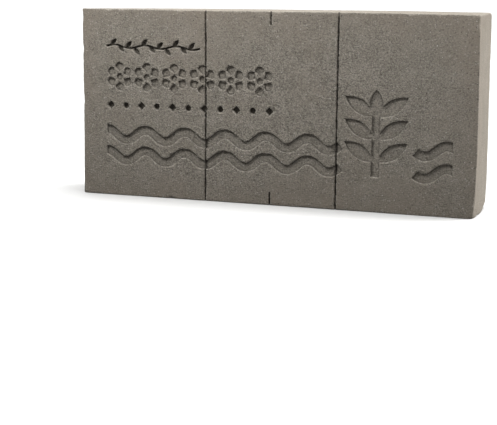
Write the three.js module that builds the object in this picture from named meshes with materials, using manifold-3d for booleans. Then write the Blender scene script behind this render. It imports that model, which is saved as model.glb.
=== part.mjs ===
import * as THREE from 'three';
import { mergeVertices } from 'three/addons/utils/BufferGeometryUtils.js';
import Module from 'manifold-3d';

// A brick of dry floral foam, standing on one long narrow side.
// Millimetres. +X runs along the length, +Y through the thickness, +Z up.
// The origin is the centre of the base, and the stamped face looks along -Y.
// The brick is one piece of rigid foam: everything on it is pressed or scored into one face.

// Driving dimensions of the block.
const LENGTH = 230;
const HEIGHT = 108;
const THICKNESS = 39;
const CORNER_RADIUS = 1.0;

// Score lines for cutting the brick into thirds, and ticks at half its length.
const SCORE_WIDTH = 1.0;
const SCORE_DEPTH = 2.2;
const TICK_LENGTH = 7.5;

// The stamped decoration. Its places are measured from the lower left corner of the face.
const STAMP_DEPTH = 1.4;
const FINE_STAMP_DEPTH = 2.2;
const MARGIN = 15;
const ROW_LENGTH = 102;
const WAVE = { pitch: 24.4, amplitude: 3.08, roundness: 0.1, width: 5.2, stepsPerPitch: 16 };
const WAVE_HEIGHTS = [23.75, 35.85];
const WAVE_SPANS = [
  { from: MARGIN, to: 155.5, crest: MARGIN, lift: 0, limit: LENGTH },
  { from: 197.5, to: 219, crest: 214.6, lift: -0.4, limit: 217.4 },
];
const SPRIG = { centre: 175.4, foot: 19.6, stemTop: 57, stemWidth: 4.6 };
const SPRIG_PAIRS = { count: 3, first: 8.4, pitch: 12.4 };
const SPRIG_LEAF = { length: 19.5, width: 7.6, lean: 1.0 };
const BLOSSOM = { count: 6, height: 69.4, radius: 8.2, heart: 1.9 };
const PETAL = { count: 6, root: 2.8, width: 5.4 };
const DOT_ROW = { count: 11, height: 52.8, diamondRadius: 2.5, dotRadius: 1.8 };
const GARLAND = { height: 86.7, length: 58.5, swing: 0.9, stemWidth: 1.1, leaves: 11, lean: 0.75 };
const GARLAND_LEAF = { length: 5.6, width: 2.6 };

// How far each cutter stands out of the face, so that it cuts cleanly.
const OVERSHOOT = 3;

const wasm = await Module();
wasm.setup();

// Turns a closed geometry into a solid for the boolean library.
function toSolid(geometry) {
  const bare = geometry.clone();
  bare.deleteAttribute('normal');
  bare.deleteAttribute('uv');
  const merged = mergeVertices(bare);
  const vertProperties = new Float32Array(merged.attributes.position.array);
  const triVerts = new Uint32Array(merged.index.array);
  return new wasm.Manifold(new wasm.Mesh({ numProp: 3, vertProperties, triVerts }));
}

// Turns a solid back into a geometry.
function toGeometry(solid) {
  const mesh = solid.getMesh();
  const geometry = new THREE.BufferGeometry();
  geometry.setAttribute('position', new THREE.BufferAttribute(mesh.vertProperties, 3));
  geometry.setIndex(new THREE.BufferAttribute(mesh.triVerts, 1));
  geometry.computeVertexNormals();
  return geometry;
}

// Extrudes an outline drawn on the stamped face, with x to the right and y up from the lower left
// corner, from the given depth below the face to the given height above it.
function onFace(outline, depth, above = OVERSHOOT, curveSegments = 5) {
  const geometry = new THREE.ExtrudeGeometry(outline, {
    depth: depth + above,
    bevelEnabled: false,
    curveSegments,
  });
  geometry.translate(-LENGTH / 2, 0, -depth);
  geometry.rotateX(Math.PI / 2);
  geometry.translate(0, -THICKNESS / 2, 0);
  return toSolid(geometry);
}

// A rectangle with rounded corners, from its lower left corner.
function roundedRectangle(width, height, radius) {
  const outline = new THREE.Shape();
  outline.moveTo(radius, 0);
  outline.lineTo(width - radius, 0);
  outline.absarc(width - radius, radius, radius, -Math.PI / 2, 0);
  outline.lineTo(width, height - radius);
  outline.absarc(width - radius, height - radius, radius, 0, Math.PI / 2);
  outline.lineTo(radius, height);
  outline.absarc(radius, height - radius, radius, Math.PI / 2, Math.PI);
  outline.lineTo(0, radius);
  outline.absarc(radius, radius, radius, Math.PI, Math.PI * 1.5);
  return outline;
}

// A plain rectangle between two corners.
function rectangle(left, bottom, right, top) {
  const outline = new THREE.Shape();
  outline.moveTo(left, bottom);
  outline.lineTo(right, bottom);
  outline.lineTo(right, top);
  outline.lineTo(left, top);
  return outline;
}

// A leaf with two pointed ends. It starts at (x, y) and grows along the angle from +X.
function leaf(x, y, angle, length, width) {
  const point = (along, across) => new THREE.Vector2(
    x + along * Math.cos(angle) - across * Math.sin(angle),
    y + along * Math.sin(angle) + across * Math.cos(angle),
  );
  const tip = point(length, 0);
  const right = point(length * 0.45, -width);
  const left = point(length * 0.45, width);
  const outline = new THREE.Shape();
  outline.moveTo(x, y);
  outline.quadraticCurveTo(right.x, right.y, tip.x, tip.y);
  outline.quadraticCurveTo(left.x, left.y, x, y);
  return outline;
}

// A petal, narrow at the heart of the blossom and round at its outer end.
function petal(x, y, angle, inner, outer, width) {
  const radius = width / 2;
  const forward = new THREE.Vector2(Math.cos(angle), Math.sin(angle));
  const centre = new THREE.Vector2(x, y).addScaledVector(forward, outer - radius);
  const outline = new THREE.Shape();
  outline.moveTo(x + inner * forward.x, y + inner * forward.y);
  outline.lineTo(centre.x + radius * forward.y, centre.y - radius * forward.x);
  outline.absarc(centre.x, centre.y, radius, angle - Math.PI / 2, angle + Math.PI / 2);
  return outline;
}

// A full circle.
function disc(x, y, radius) {
  const outline = new THREE.Shape();
  outline.absarc(x, y, radius, 0, Math.PI * 2);
  return outline;
}

// A square standing on one corner.
function diamond(x, y, radius) {
  const outline = new THREE.Shape();
  outline.moveTo(x - radius, y);
  outline.lineTo(x, y - radius);
  outline.lineTo(x + radius, y);
  outline.lineTo(x, y + radius);
  return outline;
}

// A wavy band of constant width about the line y(x), between two x values, cut off at a limit.
function wavyBand(from, to, width, steps, line, limit = LENGTH) {
  const lower = [];
  const upper = [];
  for (let i = 0; i <= steps; i += 1) {
    const x = from + ((to - from) * i) / steps;
    const slope = (line(x + 0.01) - line(x - 0.01)) / 0.02;
    const normal = new THREE.Vector2(-slope, 1).normalize().multiplyScalar(width / 2);
    const middle = new THREE.Vector2(x, line(x));
    lower.push(middle.clone().sub(normal));
    upper.unshift(middle.clone().add(normal));
  }
  const outline = [...lower, ...upper];
  outline.forEach((point) => point.setX(Math.min(point.x, limit)));
  return new THREE.Shape(outline);
}

// The two score lines, and the ticks at the middle of both long edges.
function scoreOutlines() {
  const outlines = [];
  const half = SCORE_WIDTH / 2;
  for (const third of [1, 2]) {
    const x = (LENGTH * third) / 3;
    outlines.push(rectangle(x - half, -OVERSHOOT, x + half, HEIGHT + OVERSHOOT));
  }
  const middle = LENGTH / 2;
  outlines.push(rectangle(middle - half, -OVERSHOOT, middle + half, TICK_LENGTH));
  outlines.push(rectangle(middle - half, HEIGHT - TICK_LENGTH, middle + half, HEIGHT + OVERSHOOT));
  return outlines;
}

// Two rows of waves that stop short of the sprig and go on behind it. Their crests are rounder
// than a cosine's.
function waveOutlines() {
  const outlines = [];
  for (const height of WAVE_HEIGHTS) {
    for (const { from, to, crest, lift, limit } of WAVE_SPANS) {
      const line = (x) => {
        const turn = ((x - crest) * 2 * Math.PI) / WAVE.pitch;
        const wave = WAVE.amplitude * Math.cos(turn) - WAVE.roundness * Math.cos(3 * turn);
        return height + lift + wave;
      };
      const steps = Math.round(((to - from) / WAVE.pitch) * WAVE.stepsPerPitch);
      outlines.push(wavyBand(from, to, WAVE.width, steps, line, limit));
    }
  }
  return outlines;
}

// A sprig: a straight stem, pairs of leaves and one leaf at the top.
function sprigOutlines() {
  const { centre, foot, stemTop, stemWidth } = SPRIG;
  const { length, width, lean } = SPRIG_LEAF;
  const half = stemWidth / 2;
  const up = Math.PI / 2;
  const outlines = [rectangle(centre - half, foot, centre + half, stemTop)];
  for (let pair = 0; pair < SPRIG_PAIRS.count; pair += 1) {
    const y = foot + SPRIG_PAIRS.first + pair * SPRIG_PAIRS.pitch;
    outlines.push(leaf(centre + half / 2, y, up - lean, length, width));
    outlines.push(leaf(centre - half / 2, y, up + lean, length, width));
  }
  outlines.push(leaf(centre, stemTop - stemWidth, up, length - stemWidth, width));
  return outlines;
}

// A row of plain blossoms, each a ring of petals about a round heart.
function blossomOutlines() {
  const outlines = [];
  const { count, height, radius, heart } = BLOSSOM;
  const pitch = (ROW_LENGTH - 2 * radius) / (count - 1);
  for (let i = 0; i < count; i += 1) {
    const x = MARGIN + radius + i * pitch;
    outlines.push(disc(x, height, heart));
    for (let k = 0; k < PETAL.count; k += 1) {
      const angle = Math.PI / 2 + (k * 2 * Math.PI) / PETAL.count;
      outlines.push(petal(x, height, angle, PETAL.root, radius, PETAL.width));
    }
  }
  return outlines;
}

// A row of diamonds and dots, by turns.
function dotRowOutlines() {
  const outlines = [];
  const { count, height, diamondRadius, dotRadius } = DOT_ROW;
  const pitch = (ROW_LENGTH - 2 * diamondRadius) / (count - 1);
  for (let i = 0; i < count; i += 1) {
    const x = MARGIN + diamondRadius + i * pitch;
    outlines.push(i % 2 === 0 ? diamond(x, height, diamondRadius) : disc(x, height, dotRadius));
  }
  return outlines;
}

// A short garland: a thin wavy stem with small leaves above and below it by turns.
function garlandOutlines() {
  const { height, length, swing, stemWidth, leaves, lean } = GARLAND;
  const pitch = length / (leaves + 1);
  const line = (x) => height + swing * Math.sin(((x - MARGIN) * Math.PI) / (2 * pitch));
  const outlines = [wavyBand(MARGIN, MARGIN + length, stemWidth, 2 * (leaves + 1), line)];
  for (let i = 0; i < leaves; i += 1) {
    const x = MARGIN + (i + 0.5) * pitch;
    const angle = i % 2 === 0 ? lean : -lean;
    outlines.push(leaf(x, line(x), angle, GARLAND_LEAF.length, GARLAND_LEAF.width));
  }
  return outlines;
}

// The foam block with everything that is scored and stamped into it.
function foamBrick() {
  let brick = onFace(roundedRectangle(LENGTH, HEIGHT, CORNER_RADIUS), THICKNESS, 0, 4);
  for (const outline of scoreOutlines()) {
    brick = brick.subtract(onFace(outline, SCORE_DEPTH));
  }
  for (const outline of [...waveOutlines(), ...sprigOutlines(), ...blossomOutlines()]) {
    brick = brick.subtract(onFace(outline, STAMP_DEPTH));
  }
  for (const outline of [...dotRowOutlines(), ...garlandOutlines()]) {
    brick = brick.subtract(onFace(outline, FINE_STAMP_DEPTH));
  }
  return toGeometry(brick);
}

const foam = new THREE.MeshStandardMaterial({ color: 0x857c72, roughness: 0.98, metalness: 0 });
const brickMesh = new THREE.Mesh(foamBrick(), foam);
brickMesh.name = 'foam_brick';

const model = new THREE.Group();
model.add(brickMesh);

export default model;
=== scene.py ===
import math
import random

import bpy
from mathutils import Matrix, Vector, kdtree, noise
from mathutils.geometry import delaunay_2d_cdt


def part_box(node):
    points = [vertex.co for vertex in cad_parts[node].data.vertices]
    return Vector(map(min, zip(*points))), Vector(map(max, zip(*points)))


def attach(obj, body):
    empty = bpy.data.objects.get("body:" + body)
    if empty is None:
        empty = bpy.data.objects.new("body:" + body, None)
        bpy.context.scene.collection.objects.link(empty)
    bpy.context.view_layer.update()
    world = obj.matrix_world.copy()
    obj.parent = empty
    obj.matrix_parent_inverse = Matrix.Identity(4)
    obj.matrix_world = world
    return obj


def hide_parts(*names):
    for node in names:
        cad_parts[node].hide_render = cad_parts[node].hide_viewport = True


# A brick of dry floral foam on a pale floor. The CAD block is stood for by one foam mesh with the
# same size and the same scored and stamped face, but with the surface that real foam has.
# Lengths are in millimetres until the mesh is made. The stamped face looks along -Y, and places on
# it are measured from its lower left corner: u to the right and v up.

MM = 0.001
random.seed(7)
noise.seed_set(7)

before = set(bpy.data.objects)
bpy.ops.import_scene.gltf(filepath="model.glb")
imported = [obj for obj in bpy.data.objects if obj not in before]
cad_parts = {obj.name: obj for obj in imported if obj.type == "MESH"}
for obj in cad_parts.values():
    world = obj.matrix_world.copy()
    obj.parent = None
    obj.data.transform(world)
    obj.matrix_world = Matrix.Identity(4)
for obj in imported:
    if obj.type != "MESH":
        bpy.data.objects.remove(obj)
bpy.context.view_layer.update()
LOW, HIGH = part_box("foam_brick")
LENGTH, THICKNESS, HEIGHT = ((HIGH[i] - LOW[i]) / MM for i in range(3))
HALF_LENGTH, HALF_THICKNESS = LENGTH / 2, THICKNESS / 2

# What is scored and stamped into the face, as in the CAD model.
SCORE = {"width": 1.0, "depth": 2.2, "tick": 7.5}
STAMP_DEPTH = 1.4
MARGIN = 15
ROW_LENGTH = 102
WAVE = {"pitch": 24.4, "amplitude": 3.08, "roundness": 0.1, "width": 5.2}
WAVE_HEIGHTS = (23.75, 35.85)
WAVE_SPANS = (
    {"start": MARGIN, "end": 155.5, "crest": MARGIN, "lift": 0, "limit": LENGTH},
    {"start": 197.5, "end": 219, "crest": 214.6, "lift": -0.4, "limit": 217.4},
)
SPRIG = {"centre": 175.4, "foot": 19.6, "top": 57, "stem": 4.6}
SPRIG_PAIRS = {"count": 3, "first": 8.4, "pitch": 12.4}
SPRIG_LEAF = {"length": 19.5, "width": 7.6, "lean": 1.0}
BLOSSOM = {"count": 6, "height": 69.4, "radius": 8.2, "heart": 1.9}
PETAL = {"count": 6, "root": 2.8, "width": 5.4}
DOTS = {"count": 11, "height": 52.8, "diamond": 2.5, "dot": 1.8}
GARLAND = {"height": 86.7, "length": 58.5, "swing": 0.9, "stem": 1.1, "leaves": 11, "lean": 0.75}
GARLAND_LEAF = {"length": 5.6, "width": 2.6}

# Depth below the face of each kind of surface on it. The small marks are as deep as the scores.
FACE, STAMPED, SCORED = 0, 1, 2
DEPTH = {FACE: 0.0, STAMPED: STAMP_DEPTH, SCORED: SCORE["depth"]}

# How a recess meets the face: its lip is set back and drops a little before the wall, and its floor
# starts inside the wall's foot. The middle of the lip counts as slightly pressed, and takes a little
# painted shade.
LIP_SET_BACK = 0.11
LIP_DROP = 0.22
LIP_PRESSED = 0.3
FLOOR_INSET = 0.14

# How far the foam's torn outlines stray, and over what length.
SCORE_STRAY = {"amount": 0.38, "wavelength": 0.9}
STAMP_STRAY = {"amount": 0.16, "wavelength": 1.3}
FINE_STRAY = {"amount": 0.12, "wavelength": 1.3}

# How finely the faces and outlines are divided.
OUTLINE_STEP = 0.55
FACE_STEP = 0.95
EDGE_STEP = 1.0
SIDE_STEP = 1.25
RIB_ROW_STEP = 2.6
EDGE_ROWS = (0.3, 0.8)
FACE_CLEARANCE = 0.42
SIDE_CLEARANCE = 0.2
ON_EDGE = 1e-3


# ---------------------------------------------------------------- outlines on the stamped face

def divided(corners, step=OUTLINE_STEP):
    """The closed outline through the corners, with its long sides divided."""
    points = []
    for (u0, v0), (u1, v1) in zip(corners, corners[1:] + corners[:1]):
        pieces = max(1, math.ceil(math.hypot(u1 - u0, v1 - v0) / step - 1e-6))
        points += [(u0 + (u1 - u0) * i / pieces, v0 + (v1 - v0) * i / pieces) for i in range(pieces)]
    return points


def ragged(points, amount, wavelength):
    """The outline as foam tears: each point strays a little, but not along the brick's own edge."""
    strayed = []
    for u, v in points:
        if v in (0, HEIGHT):
            strayed.append((u, v))
            continue
        stray = noise.noise_vector(Vector((u, v, 3.7)) / wavelength) * amount
        strayed.append((u + stray.x, v + stray.y))
    return strayed


def rectangle(left, bottom, right, top):
    return divided([(left, bottom), (right, bottom), (right, top), (left, top)])


def disc(u, v, radius):
    count = max(14, round(2 * math.pi * radius / OUTLINE_STEP))
    turns = [2 * math.pi * i / count for i in range(count)]
    return [(u + radius * math.cos(a), v + radius * math.sin(a)) for a in turns]


def diamond(u, v, radius):
    return divided([(u - radius, v), (u, v - radius), (u + radius, v), (u, v + radius)])


def leaf(u, v, angle, length, width):
    """A leaf with two pointed ends that starts at (u, v) and grows along the angle."""
    def point(along, across):
        return Vector((
            u + along * math.cos(angle) - across * math.sin(angle),
            v + along * math.sin(angle) + across * math.cos(angle),
        ))
    root, tip = point(0, 0), point(length, 0)
    outline = []
    steps = max(6, round(1.1 * length / OUTLINE_STEP))
    for start, side, end in ((root, -width, tip), (tip, width, root)):
        bend = point(0.45 * length, side)
        for i in range(steps):
            t = i / steps
            outline.append(tuple(start * (1 - t) ** 2 + bend * 2 * t * (1 - t) + end * t * t))
    return outline


def petal(u, v, angle, inner, outer, width):
    """A petal, narrow at the heart of the blossom and round at its outer end."""
    radius = width / 2
    cu, cv = u + (outer - radius) * math.cos(angle), v + (outer - radius) * math.sin(angle)
    count = round(math.pi * radius / OUTLINE_STEP)
    turns = [angle - math.pi / 2 + math.pi * i / count for i in range(count + 1)]
    arc = [(cu + radius * math.cos(a), cv + radius * math.sin(a)) for a in turns]
    return divided([(u + inner * math.cos(angle), v + inner * math.sin(angle))] + arc)


def wavy_band(start, end, width, line, limit=LENGTH):
    """A band of constant width about the line v(u), cut off at a limit."""
    lower, upper = [], []
    steps = math.ceil(1.15 * (end - start) / OUTLINE_STEP)
    for i in range(steps + 1):
        u = start + (end - start) * i / steps
        slope = (line(u + 0.01) - line(u - 0.01)) / 0.02
        across = Vector((-slope, 1)).normalized() * width / 2
        lower.append((u - across.x, line(u) - across.y))
        upper.insert(0, (u + across.x, line(u) + across.y))
    return divided([(min(u, limit), v) for u, v in lower + upper])


def score_outlines():
    half = SCORE["width"] / 2
    outlines = [rectangle(LENGTH * k / 3 - half, 0, LENGTH * k / 3 + half, HEIGHT) for k in (1, 2)]
    middle = LENGTH / 2
    outlines.append(rectangle(middle - half, 0, middle + half, SCORE["tick"]))
    outlines.append(rectangle(middle - half, HEIGHT - SCORE["tick"], middle + half, HEIGHT))
    return [ragged(outline, **SCORE_STRAY) for outline in outlines]


def wave_outlines():
    outlines = []
    for height in WAVE_HEIGHTS:
        for span in WAVE_SPANS:
            def line(u):
                turn = (u - span["crest"]) * 2 * math.pi / WAVE["pitch"]
                wave = WAVE["amplitude"] * math.cos(turn) - WAVE["roundness"] * math.cos(3 * turn)
                return height + span["lift"] + wave
            outlines.append(wavy_band(span["start"], span["end"], WAVE["width"], line, span["limit"]))
    return outlines


def sprig_outlines():
    centre, foot, top, stem = SPRIG["centre"], SPRIG["foot"], SPRIG["top"], SPRIG["stem"]
    length, width, lean = SPRIG_LEAF["length"], SPRIG_LEAF["width"], SPRIG_LEAF["lean"]
    up = math.pi / 2
    outlines = [rectangle(centre - stem / 2, foot, centre + stem / 2, top)]
    for pair in range(SPRIG_PAIRS["count"]):
        v = foot + SPRIG_PAIRS["first"] + pair * SPRIG_PAIRS["pitch"]
        outlines.append(leaf(centre + stem / 4, v, up - lean, length, width))
        outlines.append(leaf(centre - stem / 4, v, up + lean, length, width))
    outlines.append(leaf(centre, top - stem, up, length - stem, width))
    return outlines


def blossom_outlines():
    outlines = []
    count, height, radius = BLOSSOM["count"], BLOSSOM["height"], BLOSSOM["radius"]
    pitch = (ROW_LENGTH - 2 * radius) / (count - 1)
    for i in range(count):
        u = MARGIN + radius + i * pitch
        outlines.append(disc(u, height, BLOSSOM["heart"]))
        for k in range(PETAL["count"]):
            angle = math.pi / 2 + k * 2 * math.pi / PETAL["count"]
            outlines.append(petal(u, height, angle, PETAL["root"], radius, PETAL["width"]))
    return outlines


def dot_outlines():
    outlines = []
    pitch = (ROW_LENGTH - 2 * DOTS["diamond"]) / (DOTS["count"] - 1)
    for i in range(DOTS["count"]):
        u = MARGIN + DOTS["diamond"] + i * pitch
        if i % 2:
            outlines.append(disc(u, DOTS["height"], DOTS["dot"]))
        else:
            outlines.append(diamond(u, DOTS["height"], DOTS["diamond"]))
    return outlines


def garland_outlines():
    pitch = GARLAND["length"] / (GARLAND["leaves"] + 1)

    def line(u):
        return GARLAND["height"] + GARLAND["swing"] * math.sin((u - MARGIN) * math.pi / (2 * pitch))

    outlines = [wavy_band(MARGIN, MARGIN + GARLAND["length"], GARLAND["stem"], line)]
    for i in range(GARLAND["leaves"]):
        u = MARGIN + (i + 0.5) * pitch
        lean = GARLAND["lean"] * (1 if i % 2 == 0 else -1)
        outlines.append(leaf(u, line(u), lean, GARLAND_LEAF["length"], GARLAND_LEAF["width"]))
    return outlines


def face_outlines():
    """Every outline on the stamped face, each with the kind of surface inside it."""
    stamped = wave_outlines() + sprig_outlines() + blossom_outlines()
    fine = dot_outlines() + garland_outlines()
    kinds = [(STAMPED, ragged(outline, **STAMP_STRAY)) for outline in stamped]
    kinds += [(SCORED, ragged(outline, **FINE_STRAY)) for outline in fine]
    return kinds + [(SCORED, outline) for outline in score_outlines()]


# ---------------------------------------------------------------- the closed mesh of the brick

class Shell:
    """The brick's surface before it is worn: points in millimetres, and faces that share them."""

    def __init__(self):
        self.points = []
        self.pressed = []
        self.lip = []
        self.corner = []
        self.faces = []

    def add(self, u, v, depth, pressed=0.0, lip=0.0, corner=0.0):
        """Adds a point on the stamped side and returns its number."""
        return self.add_at(Vector((u - HALF_LENGTH, depth - HALF_THICKNESS, v)), pressed, lip, corner)

    def add_at(self, point, pressed=0.0, lip=0.0, corner=0.0):
        self.points.append(Vector(point))
        self.pressed.append(pressed)
        self.lip.append(lip)
        self.corner.append(corner)
        return len(self.points) - 1


def spread(width, height, step_u, step_v, avoid=(), clearance=0.0):
    """Points inside a width by height rectangle: rows close to its sides, then a loose grid.
    None lies within the clearance of a point in avoid."""
    tree = kdtree.KDTree(max(1, len(avoid)))
    for i, (u, v) in enumerate(avoid):
        tree.insert((u, v, 0), i)
    tree.balance()
    points = []

    def place(u, v):
        if not avoid or tree.find((u, v, 0))[2] > clearance:
            points.append((u, v))

    for inset in EDGE_ROWS:
        along_u = round((width - 2 * inset) / EDGE_STEP)
        along_v = round((height - 2 * inset) / EDGE_STEP)
        for i in range(along_u + 1):
            u = inset + (width - 2 * inset) * i / along_u
            place(u, inset)
            place(u, height - inset)
        for i in range(1, along_v):
            v = inset + (height - 2 * inset) * i / along_v
            place(inset, v)
            place(width - inset, v)
    rim = EDGE_ROWS[-1] + 0.7
    columns = round((width - 2 * rim) / step_u)
    rows = round((height - 2 * rim) / step_v)
    for i in range(columns + 1):
        for j in range(rows + 1):
            u = rim + (width - 2 * rim) * i / columns + random.uniform(-0.2, 0.2) * step_u
            v = rim + (height - 2 * rim) * j / rows + random.uniform(-0.2, 0.2) * step_v
            place(u, v)
    return points


def triangulated(flat, loops):
    """Triangles between flat points, within closed loops of point numbers. Returns the places, the
    triangles, the points that each place came from, and the loops that each triangle lies in. A
    triangle that closes off a notch in the outer loop lies in none."""
    triangles_inside, merge_distance = 1, 1e-4
    found, _, triangles, origins, _, inside = delaunay_2d_cdt(
        [Vector(p) for p in flat], [], loops, triangles_inside, merge_distance, True)
    return found, triangles, origins, inside


def rim_of_face(outlines):
    """The stamped face's own outline. It has a point wherever a score line runs out."""
    ends = {0: set(), HEIGHT: set()}
    for _, outline in outlines:
        for u, v in outline:
            if v in ends:
                ends[v].add(u)
    rim = []
    for v, backwards in ((0, False), (HEIGHT, True)):
        steps = round(LENGTH / EDGE_STEP)
        row = [LENGTH * i / steps for i in range(steps + 1)]
        row = [u for u in row if all(abs(u - end) > 0.3 for end in ends[v])]
        row = [(u, v) for u in sorted(row + list(ends[v]), reverse=backwards)]
        steps = round(HEIGHT / EDGE_STEP)
        side_u = 0 if backwards else LENGTH
        side = [HEIGHT * i / steps for i in range(1, steps)]
        rim += row + [(side_u, w) for w in (reversed(side) if backwards else side)]
    return rim


def face_triangles():
    """The stamped side laid out flat: places, triangles, and each triangle's kind of surface."""
    outlines = face_outlines()
    kinds = [FACE] + [kind for kind, _ in outlines]
    loops = [rim_of_face(outlines)] + [outline for _, outline in outlines]
    near = [p for outline in loops[1:] for p in outline]
    flat, polygons = [], []
    for loop in loops:
        polygons.append(list(range(len(flat), len(flat) + len(loop))))
        flat += loop
    flat += spread(LENGTH, HEIGHT, FACE_STEP, FACE_STEP, near, FACE_CLEARANCE)
    found, triangles, _, inside = triangulated(flat, polygons)
    return found, triangles, [max(kinds[i] for i in owners) for owners in inside]


def face_borders(found, triangles, labels):
    """The way from each corner into each kind of surface that it bounds, and the kind of surface
    to the left of each directed edge."""
    inward, owner = {}, {}
    for triangle, label in zip(triangles, labels):
        middle = sum((found[i] for i in triangle), Vector((0, 0))) / 3
        for i, corner in enumerate(triangle):
            way = (middle - found[corner]).normalized()
            inward[corner, label] = inward.get((corner, label), Vector((0, 0))) + way
            owner[corner, triangle[(i + 1) % 3]] = label
    return inward, owner


def face_points(shell, found, inward):
    """Adds a copy of each corner for each kind of surface that it bounds, and one more on the lip
    of a recess. Returns the copies, and each corner's chain of depths and points, downwards."""
    surfaces_at = {}
    for corner, label in inward:
        surfaces_at.setdefault(corner, []).append(label)
    copies, chain_at = {}, {}
    for corner, surfaces in surfaces_at.items():
        u, v = found[corner]
        chain_at[corner] = []
        for label in sorted(surfaces):
            way = inward[corner, label].copy()
            if v < ON_EDGE or v > HEIGHT - ON_EDGE:
                way.y = 0
            if u < ON_EDGE or u > LENGTH - ON_EDGE:
                way.x = 0
            step = lip = foot = 0.0
            if len(surfaces) > 1 and label == FACE:
                step, lip = LIP_SET_BACK, 1.0
            # A floor point at the foot of a wall is flagged, and the material paints shade there.
            elif len(surfaces) > 1:
                step, foot = FLOOR_INSET, 1.0
            way = way.normalized() * step if way.length > 1e-6 else way * 0
            depth = DEPTH[label]
            copies[corner, label] = shell.add(u + way.x, v + way.y, depth, float(label), lip, foot)
            chain_at[corner].append((depth, copies[corner, label]))
            if lip:
                chain_at[corner].append((LIP_DROP, shell.add(u, v, LIP_DROP, LIP_PRESSED, lip)))
    return copies, chain_at


def stamped_face(shell):
    """Adds the stamped side with its recesses. Returns the chains of points on its four edges:
    bottom and top from left to right, left and right from the bottom up."""
    found, triangles, labels = face_triangles()
    inward, owner = face_borders(found, triangles, labels)
    copies, chain_at = face_points(shell, found, inward)
    for triangle, label in zip(triangles, labels):
        shell.faces.append([copies[corner, label] for corner in triangle])
    for (a, b), label in owner.items():
        other = owner.get((b, a), label)
        if other > label:
            add_wall(shell, chain_at[a], chain_at[b], DEPTH[label], DEPTH[other])

    def edge(fixed, value, running):
        """The chain of points along one edge of the face, through any notch in it."""
        corners = [c for c in chain_at if abs(found[c][fixed] - value) < ON_EDGE]
        corners.sort(key=lambda c: found[c][running])
        chain = []
        for a, b in zip(corners, corners[1:]):
            label = owner.get((a, b), owner.get((b, a)))
            if chain:
                chain += between(chain_at[a], chain[-1], copies[a, label])
            else:
                chain.append(copies[a, label])
            chain.append(copies[b, label])
        return chain

    return edge(1, 0, 0), edge(1, HEIGHT, 0), edge(0, 0, 1), edge(0, LENGTH, 1)


def between(chain, first, last):
    """The points of an upright chain after first, up to and with last, whichever way that is."""
    numbers = [number for _, number in chain]
    i, j = numbers.index(first), numbers.index(last)
    if i == j:
        return []
    return numbers[i + 1:j + 1] if i < j else numbers[j:i][::-1]


def add_wall(shell, chain_a, chain_b, top, bottom):
    """Adds the wall of a recess under the edge from a to b, between two depths."""
    left = [point for point in chain_a if top <= point[0] <= bottom]
    right = [point for point in chain_b if top <= point[0] <= bottom]
    i = j = 0
    while i < len(left) - 1 or j < len(right) - 1:
        next_left = left[i + 1][0] if i < len(left) - 1 else math.inf
        next_right = right[j + 1][0] if j < len(right) - 1 else math.inf
        if next_left == next_right:
            shell.faces.append([right[j][1], left[i][1], left[i + 1][1], right[j + 1][1]])
            i, j = i + 1, j + 1
        elif next_left < next_right:
            shell.faces.append([right[j][1], left[i][1], left[i + 1][1]])
            i += 1
        else:
            shell.faces.append([right[j][1], left[i][1], right[j + 1][1]])
            j += 1


def fill(shell, loop, flatten, lift, size, steps, turned=False):
    """Adds a plain side of the block inside a closed loop of points that are already there.
    flatten turns a point into its place on the side, and lift turns a place back into a point.
    turned is for a side that looks along its axis backwards, so that its faces look out too."""
    outline = [flatten(shell.points[number]) for number in loop]
    flat = outline + spread(*size, *steps, outline, SIDE_CLEARANCE)
    found, triangles, origins, inside = triangulated(flat, [list(range(len(loop)))])
    kept = [triangle for triangle, owners in zip(triangles, inside) if owners]
    used = {i for triangle in kept for i in triangle}
    numbers = {}
    for i, (place, origin) in enumerate(zip(found, origins)):
        on_loop = [k for k in origin if k < len(loop)]
        if on_loop:
            numbers[i] = loop[on_loop[0]]
        elif i in used:
            numbers[i] = shell.add_at(lift(*place))
    for triangle in kept:
        corners = [numbers[i] for i in triangle]
        shell.faces.append(corners[::-1] if turned else corners)


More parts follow.
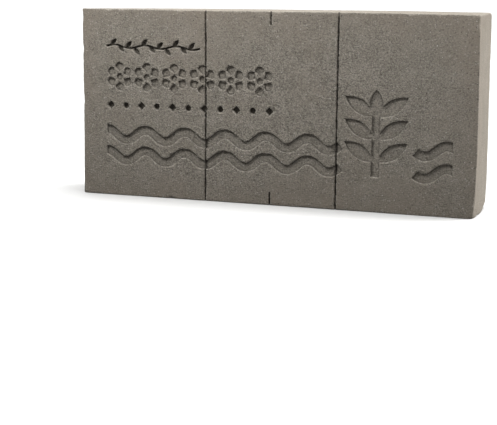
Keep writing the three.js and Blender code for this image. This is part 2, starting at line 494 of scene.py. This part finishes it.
def block_shell():
    """The whole surface of the brick as one closed mesh."""
    shell = Shell()
    bottom, top, left, right = stamped_face(shell)

    def edge(start, end, first=None, last=None, step=SIDE_STEP):
        """A chain of new points along one edge of the block. Its ends may be there already."""
        count = round((Vector(end) - Vector(start)).length / step)
        chain = []
        for i in range(count + 1):
            if i == 0 and first is not None:
                chain.append(first)
            elif i == count and last is not None:
                chain.append(last)
            else:
                chain.append(shell.add_at(Vector(start).lerp(Vector(end), i / count)))
        return chain

    x, y = HALF_LENGTH, HALF_THICKNESS
    low_left = edge((-x, -y, 0), (-x, y, 0), first=bottom[0], step=EDGE_STEP)
    low_right = edge((x, -y, 0), (x, y, 0), first=bottom[-1], step=EDGE_STEP)
    high_left = edge((-x, -y, HEIGHT), (-x, y, HEIGHT), first=top[0], step=EDGE_STEP)
    high_right = edge((x, -y, HEIGHT), (x, y, HEIGHT), first=top[-1], step=EDGE_STEP)
    back_low = edge((-x, y, 0), (x, y, 0), low_left[-1], low_right[-1])
    back_high = edge((-x, y, HEIGHT), (x, y, HEIGHT), high_left[-1], high_right[-1])
    back_left = edge((-x, y, 0), (-x, y, HEIGHT), low_left[-1], high_left[-1])
    back_right = edge((x, y, 0), (x, y, HEIGHT), low_right[-1], high_right[-1])

    def around(a, b, c, d):
        """Joins four chains into a loop: along a, up b, back along c and down d."""
        return a[:-1] + b[:-1] + c[::-1][:-1] + d[::-1][:-1]

    side = (SIDE_STEP, SIDE_STEP)
    fill(shell, around(back_low, back_right, back_high, back_left),
         lambda p: (p.x + x, p.z), lambda u, v: (u - x, y, v), (LENGTH, HEIGHT),
         (RIB_PITCH / 4, RIB_ROW_STEP), turned=True)
    for near, left_edge, right_edge, far, z in (
            (bottom, low_left, low_right, back_low, 0), (top, high_left, high_right, back_high, HEIGHT)):
        fill(shell, around(near, right_edge, far, left_edge),
             lambda p: (p.x + x, p.y + y), lambda u, v, z=z: (u - x, v - y, z), (LENGTH, THICKNESS), side,
             turned=z == 0)
    for low, near, far, high, end in (
            (low_left, left, back_left, high_left, -x), (low_right, right, back_right, high_right, x)):
        fill(shell, around(low, far, high, near),
             lambda p: (p.y + y, p.z), lambda u, v, end=end: (end, u - y, v), (THICKNESS, HEIGHT), side,
             turned=end < 0)
    return shell


# ---------------------------------------------------------------- wear, cuts and grain

# The ripple that the cutting wire leaves on the back, and how wide a border it fades over.
RIB_PITCH = 2.8
RIB_DEPTH = 0.4
RIB_BORDER = 6.0

# How far the sawn right end stands out: its front edge, which is barrel-shaped about a height and
# drawn in at the toe, its back edge, which leans out to the base, and the belly between them.
RIGHT_END = {"front": 0.45, "barrel": 2.3, "barrel_at": 0.33, "toe": 1.2, "toe_reach": 9,
             "back": 0.75, "belly": 0.8}
LEFT_END_LEAN = 0.8
# How far the back edge of the top rises at the right end, and drops at the left end.
TOP_TILT = 0.25
TOP_DROP = 0.75

CHIP_COUNT = 46
CHIP_REACH = (0.8, 2.6)
CHIP_DEPTH = (0.5, 1.5)
EDGE_RADIUS = 0.35
# Only points this near to an edge are rounded.
ROUNDED_WITHIN = 14
# Corners that are rounder than the edges: the place, the radius added, and how far it reaches.
SOFT_CORNERS = (
    ((HALF_LENGTH, HALF_THICKNESS, 0), 5.0, 13.0),
    ((HALF_LENGTH, -HALF_THICKNESS, HEIGHT), 0.6, 6.0),
    ((HALF_LENGTH, HALF_THICKNESS, HEIGHT), 1.1, 7.0),
)


def edge_chips():
    """Small places along the block's edges where the foam has crumbled away."""
    chips = []
    x, y = HALF_LENGTH, HALF_THICKNESS
    for _ in range(CHIP_COUNT):
        along = random.choice("xxxxyzz")
        place = [random.uniform(-x, x), random.uniform(-y, y), random.uniform(0, HEIGHT)]
        if along != "x":
            place[0] = random.choice((-x, x))
        if along != "y":
            place[1] = random.choice((-y, y))
        if along != "z":
            place[2] = random.choice((0, HEIGHT))
        chips.append((Vector(place), random.uniform(*CHIP_REACH), random.uniform(*CHIP_DEPTH)))
    return chips


def edge_radius(point, chips):
    """How round the nearest edge is at this point."""
    radius = EDGE_RADIUS + 0.2 * max(0, noise.noise(point / 9)) + 0.2 * max(0, noise.noise(point / 2.2))
    for place, reach, depth in chips:
        gap = (point - place).length_squared
        if gap < 9 * reach * reach:
            radius += depth * math.exp(-gap / (reach * reach))
    for place, extra, reach in SOFT_CORNERS:
        radius += extra * math.exp(-(point - Vector(place)).length_squared / reach ** 2)
    return radius


def rounded(point, radius):
    """Moves a point of the block onto edges of the given radius. Points inside stay."""
    centre = Vector((0, 0, HEIGHT / 2))
    offset = point - centre
    limits = (HALF_LENGTH - radius, HALF_THICKNESS - radius, HEIGHT / 2 - radius)
    core = Vector([max(-limit, min(limit, value)) for value, limit in zip(offset, limits)])
    out = offset - core
    if out.length > radius:
        out = out.normalized() * radius
    return centre + core + out


def off_square(point):
    """Leans and bellies the two sawn ends, and tilts the top, as the real saw leaves them."""
    share = point.x / HALF_LENGTH
    rise = point.z / HEIGHT
    depth = (point.y + HALF_THICKNESS) / THICKNESS
    near_top = rise ** 8
    if share < 0:
        drop = TOP_DROP * share * share * depth * near_top
        return point + Vector((-share * LEFT_END_LEAN * rise, 0, -drop))
    front = RIGHT_END["front"] - RIGHT_END["barrel"] * (rise - RIGHT_END["barrel_at"]) ** 2
    front -= RIGHT_END["toe"] * math.exp(-point.z / RIGHT_END["toe_reach"])
    back = RIGHT_END["back"] * (1 - rise)
    belly = RIGHT_END["belly"] * 4 * depth * (1 - depth) * (1 - rise)
    stand = front * (1 - depth) + back * depth + belly
    near_end = share ** 6
    return point + Vector((near_end * stand, 0, TOP_TILT * share * depth * near_top))


def rib(point):
    """How far a point of the back lies in a hollow of the wire's ripple, from 0 to 1. The ripple
    comes and goes, and fades out towards the edges."""
    if point.y < HALF_THICKNESS - 0.5:
        return 0.0
    inset = min(HALF_LENGTH - abs(point.x), point.z, HEIGHT - point.z)
    fade = max(0, min(1, (inset - 1.5) / RIB_BORDER))
    drift = 1.3 * noise.noise(Vector((point.x / 40, point.z / 60, 5)))
    strength = 0.6 + 1.1 * noise.noise(Vector((point.x / 9, point.z / 25, 9)))
    ripple = math.sin(2 * math.pi * (point.x + drift) / RIB_PITCH)
    return fade * max(0, min(1, strength)) * (1 - ripple) / 2


def grainy(point, pressed):
    """The foam's own unevenness, from the whole side down to single crumbs."""
    fine = noise.noise_vector(point / 1.5) * 0.075 * (1 - 0.35 * min(1, pressed))
    middle = noise.noise_vector(point / 7) * 0.06
    broad = noise.noise_vector(point / 70) * 0.35
    return point + fine + middle + broad


def worn(shell):
    """The points of the finished surface, and what the material needs to know at each of them:
    how near it lay to an edge (within a millimetre for wear, within a finger's width for border),
    whether it is on a side that was sawn smooth, and how deep in a rib of the back, for painted shade."""
    chips = edge_chips()
    points = []
    facts = {"wear": [], "border": [], "sawn": [], "ribs": []}
    for point, pressed in zip(shell.points, shell.pressed):
        from_end, from_face = HALF_LENGTH - abs(point.x), HALF_THICKNESS - abs(point.y)
        from_top = HEIGHT - point.z
        gap = max(0, sorted((from_end, from_face, point.z, from_top))[1])
        hollow = rib(point)
        facts["wear"].append(math.exp(-gap / 0.9))
        facts["border"].append(math.exp(-gap / 9) if from_top > 0.5 else 0.0)
        facts["sawn"].append(1.0 if from_face > 0.4 and pressed == 0 else 0.0)
        facts["ribs"].append(hollow)
        moved = point
        if gap < ROUNDED_WITHIN:
            moved = rounded(point, edge_radius(point, chips))
        moved = grainy(off_square(moved) - Vector((0, RIB_DEPTH * hollow, 0)), pressed)
        moved.z = max(0.0, moved.z)
        points.append(moved)
    return points, facts


def foam_mesh():
    """The finished brick as a Blender object in metres."""
    shell = block_shell()
    points, facts = worn(shell)
    # pressed and corner also tell the material where to paint shade: on recess floors and at the foot of
    # their walls.
    facts.update(pressed=shell.pressed, lip=shell.lip, corner=shell.corner)
    mesh = bpy.data.meshes.new("foam_surface")
    mesh.from_pydata([point * MM for point in points], [], shell.faces)
    for name, values in facts.items():
        mesh.attributes.new(name, "FLOAT", "POINT").data.foreach_set("value", values)
    mesh.update()
    mesh.shade_smooth()
    piece = bpy.data.objects.new("stamped_foam_brick", mesh)
    bpy.context.scene.collection.objects.link(piece)
    return piece


# ---------------------------------------------------------------- materials

class Nodes:
    """A short way to write a material's nodes."""

    def __init__(self, name):
        self.material = bpy.data.materials.new(name)
        self.material.use_nodes = True
        self.tree = self.material.node_tree
        self.shader = self.tree.nodes["Principled BSDF"]

    def add(self, kind, settings=None, **inputs):
        node = self.tree.nodes.new(kind)
        for key, value in (settings or {}).items():
            setattr(node, key, value)
        for key, value in inputs.items():
            self.put(node, key.replace("_", " "), value)
        return node

    def put(self, node, key, value):
        socket = node.inputs[int(key)] if key.isdigit() else node.inputs[key]
        if isinstance(value, bpy.types.NodeSocket):
            self.tree.links.new(value, socket)
        else:
            socket.default_value = value

    def math(self, operation, a, b):
        node = self.add("ShaderNodeMath", {"operation": operation})
        self.put(node, "0", a)
        self.put(node, "1", b)
        return node.outputs[0]

    def plus(self, a, b):
        return self.math("ADD", a, b)

    def times(self, a, b):
        return self.math("MULTIPLY", a, b)

    def between(self, value, low, high, to_low=0.0, to_high=1.0):
        node = self.add("ShaderNodeMapRange", {"clamp": True}, Value=value)
        for key, limit in (("From Min", low), ("From Max", high), ("To Min", to_low), ("To Max", to_high)):
            self.put(node, key, limit)
        return node.outputs["Result"]

    def mix(self, factor, a, b):
        """Colour a where the factor is 0 and colour b where it is 1."""
        node = self.add("ShaderNodeMix", {"data_type": "RGBA"})
        self.put(node, "Factor", factor)
        self.put(node, "6", a)
        self.put(node, "7", b)
        return node.outputs[2]

    def place(self, stretch=(1, 1, 1)):
        where = self.add("ShaderNodeTexCoord").outputs["Object"]
        return self.add("ShaderNodeMapping", Vector=where, Scale=stretch).outputs["Vector"]

    def noise(self, size, detail=2.0, roughness=0.5, stretch=(1, 1, 1)):
        """Cloudy noise whose features are about this many millimetres across."""
        node = self.add("ShaderNodeTexNoise", Vector=self.place(stretch), Scale=1 / (size * MM),
                        Detail=detail, Roughness=roughness)
        return node.outputs["Fac"]

    def cells(self, size):
        """Cells that are about this many millimetres across."""
        return self.add("ShaderNodeTexVoronoi", Vector=self.place(), Scale=1 / (size * MM))

    def spots(self, size, radius, share):
        """Round spots in this share of the cells of this size, with a radius in cells."""
        node = self.cells(size)
        near = self.between(node.outputs["Distance"], radius, radius * 1.6, 1, 0)
        chance = self.add("ShaderNodeSeparateColor", Color=node.outputs["Color"]).outputs["Red"]
        return self.times(near, self.math("LESS_THAN", chance, share))

    def attribute(self, name):
        return self.add("ShaderNodeAttribute", {"attribute_name": name}).outputs["Fac"]


# The foam's colours, as linear light.
GRAIN_DARK, GRAIN_PALE = (0.060, 0.054, 0.046, 1), (0.430, 0.392, 0.332, 1)
COOL, WARM = (0.238, 0.222, 0.184, 1), (0.285, 0.245, 0.199, 1)
SPECK, CRUMB, TORN = (0.42, 0.39, 0.345, 1), (0.52, 0.49, 0.44, 1), (0.42, 0.39, 0.34, 1)
PIT, PINHOLE = (0.090, 0.080, 0.068, 1), (0.060, 0.053, 0.045, 1)
SAWN_DARK, SAWN_PALE = (0.225, 0.200, 0.168, 1), (0.315, 0.282, 0.238, 1)
# Painted shade for the hollows of the ribs on the back.
RIB_HOLLOW_PAINTED_SHADE = (0.150, 0.142, 0.120, 1)
# Painted shade on the floors of the stamped recesses, and darker painted shade at the foot of their walls.
STAMP_FLOOR_PAINTED_SHADE, STAMP_FOOT_PAINTED_SHADE = (0.190, 0.176, 0.154, 1), (0.055, 0.050, 0.043, 1)
# Painted shade on the floors of the scores and the small marks.
SCORE_FLOOR_PAINTED_SHADE = (0.050, 0.045, 0.038, 1)
WORN_EDGE = (0.36, 0.335, 0.295, 1)
# The floor's, as seen, and as the light that it throws back up.
FLOOR_DARK, FLOOR_PALE, FLOOR_BOUNCE = (0.56, 0.56, 0.555, 1), (0.60, 0.60, 0.595, 1), (0.10, 0.10, 0.10, 1)


def foam_body(n, grain, cells):
    """The foam's own colour: dark and pale grain, cool clouds, and warmer patches and borders."""
    tone = n.plus(n.between(grain, 0.3, 0.7, -0.7, 0.7), n.between(cells, 0.1, 0.7, -0.35, 0.35))
    tone = n.plus(tone, n.between(n.noise(9, detail=3), 0.3, 0.7, -0.18, 0.18))
    colour = n.mix(n.between(tone, -1, 1), GRAIN_DARK, GRAIN_PALE)
    colour = n.mix(n.between(n.noise(45), 0.35, 0.65, 0, 0.25), colour, COOL)
    warm = n.plus(n.between(n.noise(28), 0.45, 0.7, 0, 0.35), n.times(n.attribute("border"), 0.5))
    return n.mix(warm, colour, WARM)


def with_spots(n, colour, specks, pits, pinholes):
    """Adds pale specks, pits, pinholes, crumbs, and the torn crumbs on the lips of recesses."""
    colour = n.mix(n.times(specks, 0.75), colour, SPECK)
    colour = n.mix(n.times(pits, 0.4), colour, PIT)
    colour = n.mix(pinholes, colour, PINHOLE)
    colour = n.mix(n.spots(3.4, 0.07, 0.3), colour, CRUMB)
    torn = n.times(n.attribute("lip"), n.between(n.noise(0.9, detail=1), 0.52, 0.62))
    return n.mix(n.times(torn, 0.8), colour, TORN)


def with_cuts(n, colour):
    """Adds the smoother sawn sides, painted shade in the hollows of the ribs and on the floors and feet
    of the recesses, and the pale dust on the edges."""
    strokes = n.between(n.noise(0.8, detail=3, stretch=(1, 1, 0.06)), 0.35, 0.65)
    colour = n.mix(n.times(n.attribute("sawn"), 0.55), colour, n.mix(strokes, SAWN_DARK, SAWN_PALE))
    # Painted shade: the hollows of the back's ribs are darkened by how deep they lie.
    colour = n.mix(n.times(n.attribute("ribs"), 0.65), colour, RIB_HOLLOW_PAINTED_SHADE)
    pressed = n.between(n.attribute("pressed"), FACE, STAMPED)
    scored = n.between(n.attribute("pressed"), STAMPED, SCORED)
    # Painted shade on the floors of the stamped recesses, with a little of it on their lips.
    colour = n.mix(n.times(pressed, 0.15), colour, STAMP_FLOOR_PAINTED_SHADE)
    # Painted shade at the foot of the recess walls, where the floor meets the wall.
    colour = n.mix(n.times(n.attribute("corner"), 0.6), colour, STAMP_FOOT_PAINTED_SHADE)
    # Painted shade on the floors of the scores and the small marks.
    colour = n.mix(n.times(scored, 0.65), colour, SCORE_FLOOR_PAINTED_SHADE)
    return n.mix(n.between(n.attribute("wear"), 0.35, 1, 0, 0.2), colour, WORN_EDGE)


def foam_bump(n, grain, cells, specks, holes):
    """The fine relief: grain, cells and specks stand up, holes go in, and streaks run upright."""
    height = n.plus(n.times(grain, 0.6), n.times(cells, 0.5))
    height = n.plus(height, n.times(specks, 0.3))
    height = n.math("SUBTRACT", height, n.times(holes, 0.4))
    height = n.plus(height, n.times(n.noise(0.7, stretch=(1, 1, 0.08)), 0.35))
    return n.add("ShaderNodeBump", Height=height, Strength=1.0, Distance=0.7 * MM).outputs["Normal"]


def foam_material():
    """Dusty grey-brown foam: open cells, pinholes, pale crumbs, soft patches of warmer tone, and painted
    shade in its recesses and rib hollows.
    """
    n = Nodes("dry_floral_foam")
    grain = n.noise(0.7, roughness=0.7, stretch=(0.75, 1, 1))
    cells = n.cells(0.5).outputs["Distance"]
    specks, pits, pinholes = n.spots(1.15, 0.24, 0.26), n.spots(1.3, 0.24, 0.2), n.spots(1.9, 0.10, 0.15)
    colour = foam_body(n, grain, cells)
    colour = with_spots(n, colour, specks, pits, pinholes)
    colour = with_cuts(n, colour)
    n.put(n.shader, "Base Color", colour)
    n.put(n.shader, "Normal", foam_bump(n, grain, cells, specks, n.plus(pinholes, pits)))
    n.put(n.shader, "Roughness", 0.95)
    n.put(n.shader, "Specular IOR Level", 0.12)
    return n.material


def floor_material():
    """Pale and matt. It throws little light back up, as if dark table stood round the brick."""
    n = Nodes("pale_floor")
    bounced = n.add("ShaderNodeLightPath").outputs["Is Diffuse Ray"]
    colour = n.mix(bounced, n.mix(n.noise(300), FLOOR_DARK, FLOOR_PALE), FLOOR_BOUNCE)
    n.put(n.shader, "Base Color", colour)
    n.put(n.shader, "Roughness", 0.9)
    n.put(n.shader, "Specular IOR Level", 0.1)
    return n.material


# ---------------------------------------------------------------- floor, lights and camera

# The camera's place in millimetres from the centre of the brick's base, and the way it looks.
CAMERA_PLACE = (207.0, -662.4, 128.0)
CAMERA_TURN = math.radians(18.814)
CAMERA_DIP = math.radians(11.08)
CAMERA_ROLL = math.radians(0.37)
LENS = 88.23


def make_floor():
    """A square floor, in metres, that reaches far past the picture."""
    far = 40.0
    mesh = bpy.data.meshes.new("floor")
    mesh.from_pydata([(-far, -far, 0), (far, -far, 0), (far, far, 0), (-far, far, 0)], [], [(0, 1, 2, 3)])
    floor = bpy.data.objects.new("floor", mesh)
    bpy.context.scene.collection.objects.link(floor)
    mesh.materials.append(floor_material())


def make_camera():
    data = bpy.data.cameras.new("camera")
    data.lens = LENS
    data.sensor_width = 36
    data.clip_start = 0.01
    camera = bpy.data.objects.new("camera", data)
    bpy.context.scene.collection.objects.link(camera)
    turn = Matrix.Rotation(CAMERA_TURN, 4, "Z")
    dip = Matrix.Rotation(math.pi / 2 - CAMERA_DIP, 4, "X")
    roll = Matrix.Rotation(CAMERA_ROLL, 4, "Z")
    camera.matrix_world = Matrix.Translation(Vector(CAMERA_PLACE) * MM) @ turn @ dip @ roll
    bpy.context.scene.camera = camera


def sun(name, toward, strength, softness):
    """A wide soft light that is as strong everywhere. toward is the way from the brick to it."""
    data = bpy.data.lights.new(name, "SUN")
    data.energy = strength
    data.angle = math.radians(softness)
    light = bpy.data.objects.new(name, data)
    bpy.context.scene.collection.objects.link(light)
    light.rotation_euler = (-Vector(toward)).to_track_quat("-Z", "Y").to_euler()


def softbox(name, place, aim, side, power):
    """A square light near the brick, weaker the farther a point is from it."""
    data = bpy.data.lights.new(name, "AREA")
    data.size = side
    data.energy = power
    light = bpy.data.objects.new(name, data)
    bpy.context.scene.collection.objects.link(light)
    light.location = place
    light.rotation_euler = (Vector(aim) - Vector(place)).to_track_quat("-Z", "Y").to_euler()
    light.visible_camera = False


def make_lights():
    """Suns from above, the right and the left light the top and ends. Two small softboxes rake the
    stamped face from above, stronger at the left, and a fill lifts its right side. Places are in
    metres. The world is white to the camera, and gives the brick little light."""
    sun("overhead", (0.1, 0.1, 1.0), 4.2, 36)
    sun("side", (1.0, 0.55, 0.45), 4.9, 40)
    sun("left", (-1.0, 0.5, 0.35), 1.2, 60)
    softbox("key", (-0.13, -0.205, 0.275), (-0.05, -0.02, 0.06), 0.07, 0.67)
    softbox("second", (0.15, -0.20, 0.26), (0.06, -0.02, 0.05), 0.07, 0.27)
    softbox("fill", (0.42, -0.55, 0.06), (0.09, -0.02, 0.03), 0.2, 0.22)
    world = bpy.data.worlds.new("studio")
    world.use_nodes = True
    nodes, links = world.node_tree.nodes, world.node_tree.links
    lit, seen = nodes["Background"], nodes.new("ShaderNodeBackground")
    lit.inputs["Color"].default_value = (1, 1, 1, 1)
    lit.inputs["Strength"].default_value = 0.05
    seen.inputs["Color"].default_value = (1, 1, 1, 1)
    seen.inputs["Strength"].default_value = 1.0
    rays, mix = nodes.new("ShaderNodeLightPath"), nodes.new("ShaderNodeMixShader")
    links.new(rays.outputs["Is Camera Ray"], mix.inputs["Fac"])
    links.new(lit.outputs["Background"], mix.inputs[1])
    links.new(seen.outputs["Background"], mix.inputs[2])
    links.new(mix.outputs["Shader"], nodes["World Output"].inputs["Surface"])
    bpy.context.scene.world = world
    bpy.context.scene.view_settings.view_transform = "Standard"


make_camera()
make_floor()
make_lights()

brick = foam_mesh()
brick.data.materials.append(foam_material())
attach(brick, "root")
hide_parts("foam_brick")
